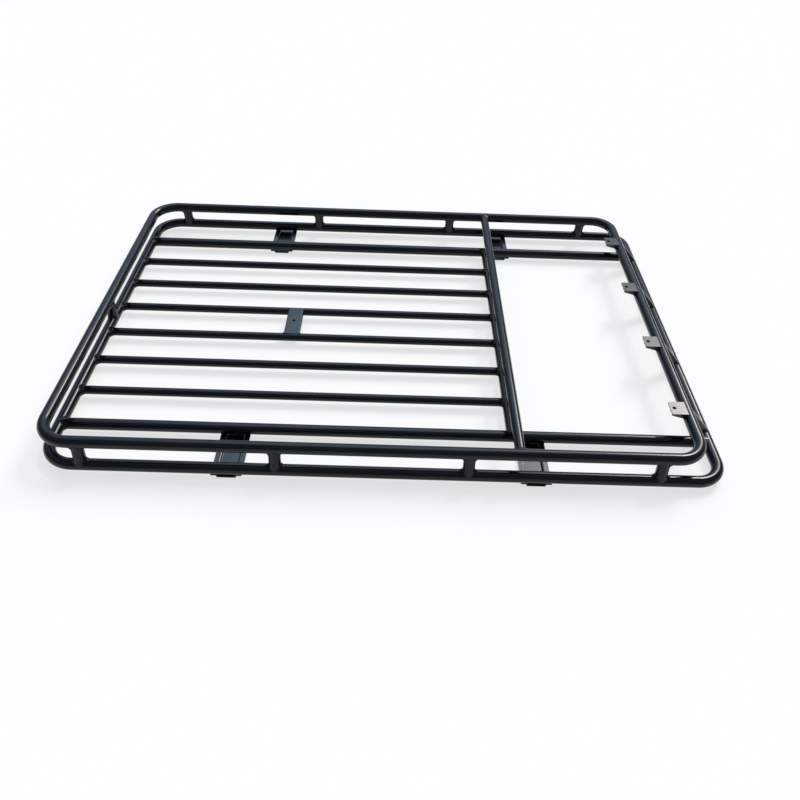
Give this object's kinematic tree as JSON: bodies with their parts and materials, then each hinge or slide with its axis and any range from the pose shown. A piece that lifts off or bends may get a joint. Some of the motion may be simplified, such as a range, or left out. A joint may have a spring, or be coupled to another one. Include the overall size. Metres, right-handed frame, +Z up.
{
  "type": "roof rack",
  "caption": "Low welded roof rack for a car: bent tube rails one above the other on struts, slatted tube floor, open front bay, roof saddles and lamp tabs.",
  "frame": {"origin": "under the middle of the rack, in the plane of the saddles' soles", "axes": "+X to the front of the car, +Y to its left, +Z up"},
  "size_m": [1.802, 1.292, 0.1118],
  "materials": {
    "tube_coat": "semi-gloss black powder coat on steel tube",
    "pressed_coat": "black powder coat on pressed steel sheet"
  },
  "bodies": {
    "root": {"bottom_rail_front": "tube_coat", "bottom_rail_rear": "tube_coat", "centre_plate": "pressed_coat", "floor_slat_1": "tube_coat", "floor_slat_2": "tube_coat", "floor_slat_3": "tube_coat", "floor_slat_4": "tube_coat", "floor_slat_5": "tube_coat", "floor_slat_6": "tube_coat", "front_strut_1": "tube_coat", "front_strut_2": "tube_coat", "front_strut_3": "tube_coat", "front_strut_4": "tube_coat", "lamp_tab_1": "pressed_coat", "lamp_tab_2": "pressed_coat", "lamp_tab_3": "pressed_coat", "lamp_tab_4": "pressed_coat", "lower_cross_tube": "tube_coat", "rear_strut": "tube_coat", "saddle_front_left": "pressed_coat", "saddle_front_right": "pressed_coat", "saddle_rear_left": "pressed_coat", "saddle_rear_right": "pressed_coat", "side_floor_tube_left": "tube_coat", "side_floor_tube_right": "tube_coat", "side_strut_left_1": "tube_coat", "side_strut_left_2": "tube_coat", "side_strut_left_3": "tube_coat", "side_strut_left_4": "tube_coat", "side_strut_right_1": "tube_coat", "side_strut_right_2": "tube_coat", "side_strut_right_3": "tube_coat", "side_strut_right_4": "tube_coat", "top_rail_front": "tube_coat", "top_rail_rear": "tube_coat", "upper_cross_tube": "tube_coat"}
  },
  "joints": []
}
